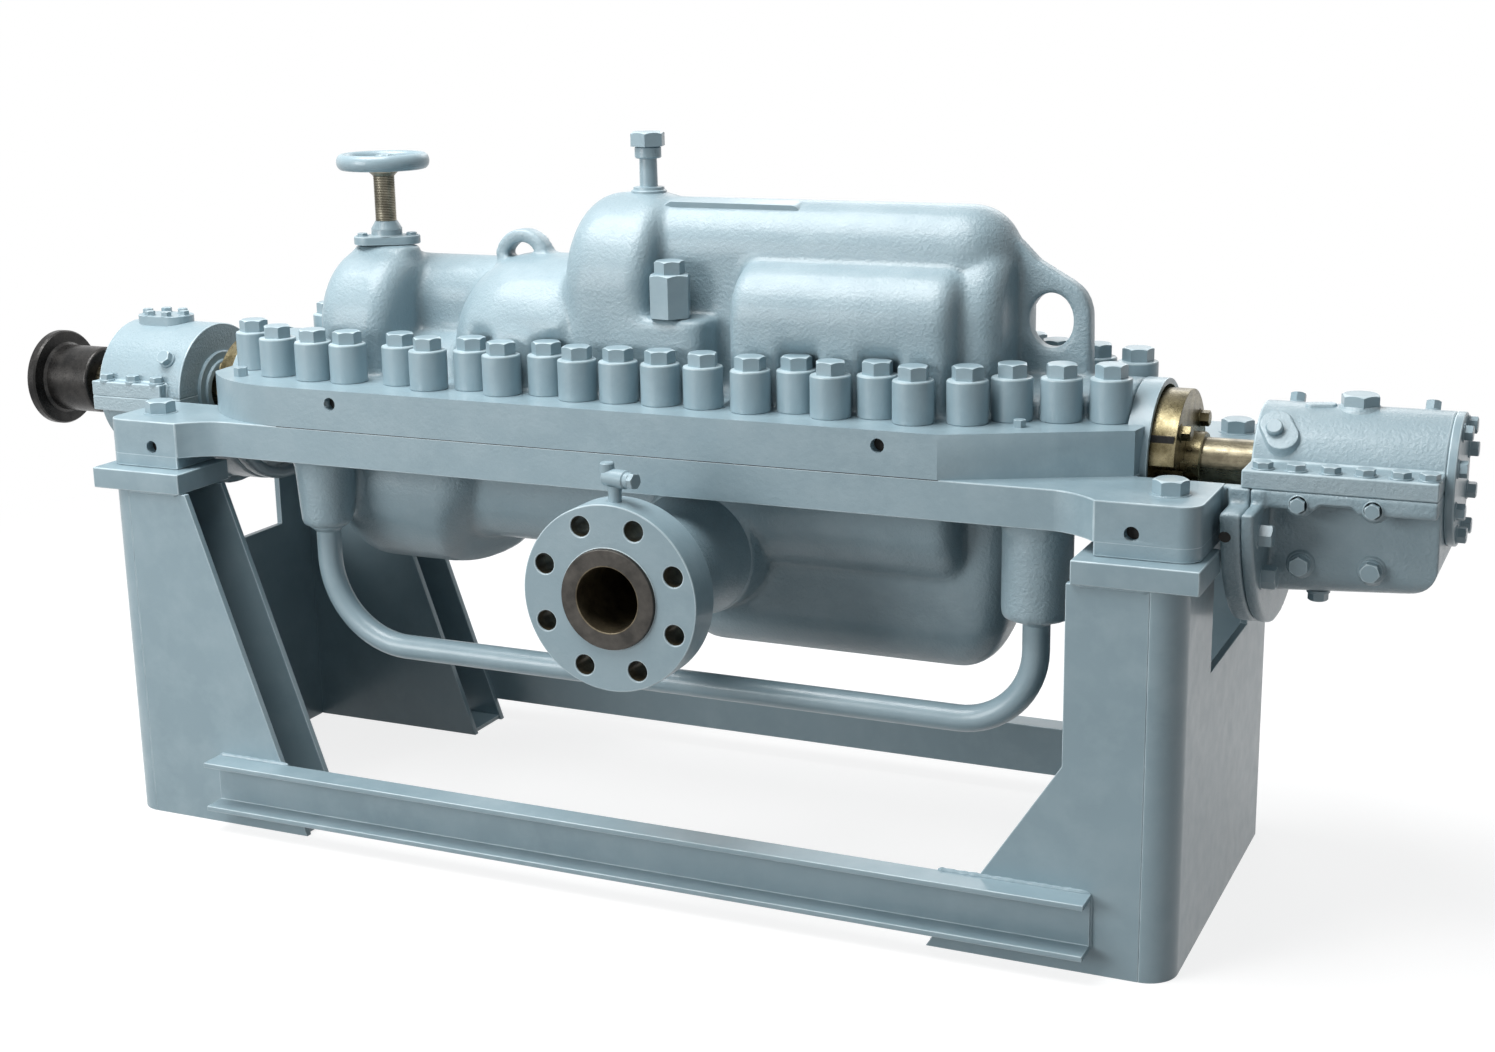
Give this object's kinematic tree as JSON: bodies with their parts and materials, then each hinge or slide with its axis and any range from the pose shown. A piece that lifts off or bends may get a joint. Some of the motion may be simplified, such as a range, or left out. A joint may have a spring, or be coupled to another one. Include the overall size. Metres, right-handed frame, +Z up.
{
  "type": "axially split multistage pump",
  "caption": "Axially split multistage centrifugal pump on its welded stand, with side nozzles, shaft and coupling hub.",
  "frame": {"origin": "on the floor under the shaft line, midway between the casing feet", "axes": "+X along the shaft from the coupling end to the thrust bearing, -Y towards the discharge nozzle, +Z up"},
  "size_m": [2.62, 0.914, 1.195],
  "materials": {
    "casing_paint": "gloss",
    "bare_steel": "satin",
    "black_steel": "satin",
    "gland_bronze": "satin",
    "stem_steel": "satin"
  },
  "bodies": {
    "pump": {"upper_casing": "casing_paint", "lower_casing": "casing_paint", "discharge_nozzle": "casing_paint", "suction_nozzle": "casing_paint", "front_casing_nuts": "casing_paint", "rear_casing_nuts": "casing_paint", "pocket_nuts": "casing_paint", "balance_pipe": "casing_paint", "vent_pipe": "casing_paint", "valve_gland": "casing_paint", "right_gland": "gland_bronze", "left_gland": "gland_bronze", "left_bearing_upper": "casing_paint", "left_bearing_lower": "casing_paint", "left_oil_cover": "casing_paint", "thrust_bearing_upper": "casing_paint", "thrust_bearing_lower": "casing_paint", "thrust_end_cover": "casing_paint", "end_cover_bolts": "casing_paint", "oil_filler_cap": "casing_paint", "foot_bolts": "casing_paint", "mounting_pads": "casing_paint", "left_end_plate": "casing_paint", "right_end_plate": "casing_paint", "left_front_cheek": "casing_paint", "left_front_inner_plate": "casing_paint", "left_rear_cheek": "casing_paint", "left_rear_inner_plate": "casing_paint", "right_front_cheek": "casing_paint", "right_front_inner_plate": "casing_paint", "right_rear_cheek": "casing_paint", "right_rear_inner_plate": "casing_paint", "front_channel": "casing_paint", "rear_channel": "casing_paint"},
    "rotor": {"shaft": "bare_steel", "coupling_hub": "black_steel", "shaft_sleeves": "gland_bronze"},
    "valve": {"valve_stem": "stem_steel", "handwheel": "casing_paint"}
  },
  "joints": [
    {"name": "rotor_spin", "type": "hinge", "parent": "pump", "child": "rotor", "pos_m": [0, 0, 0.712], "axis": [1, 0, 0], "continuous": true},
    {"name": "handwheel_turn", "type": "hinge", "parent": "pump", "child": "valve", "pos_m": [-0.558, 0, 1.1], "axis": [0, 0, 1], "range_deg": [0, 1800]}
  ]
}
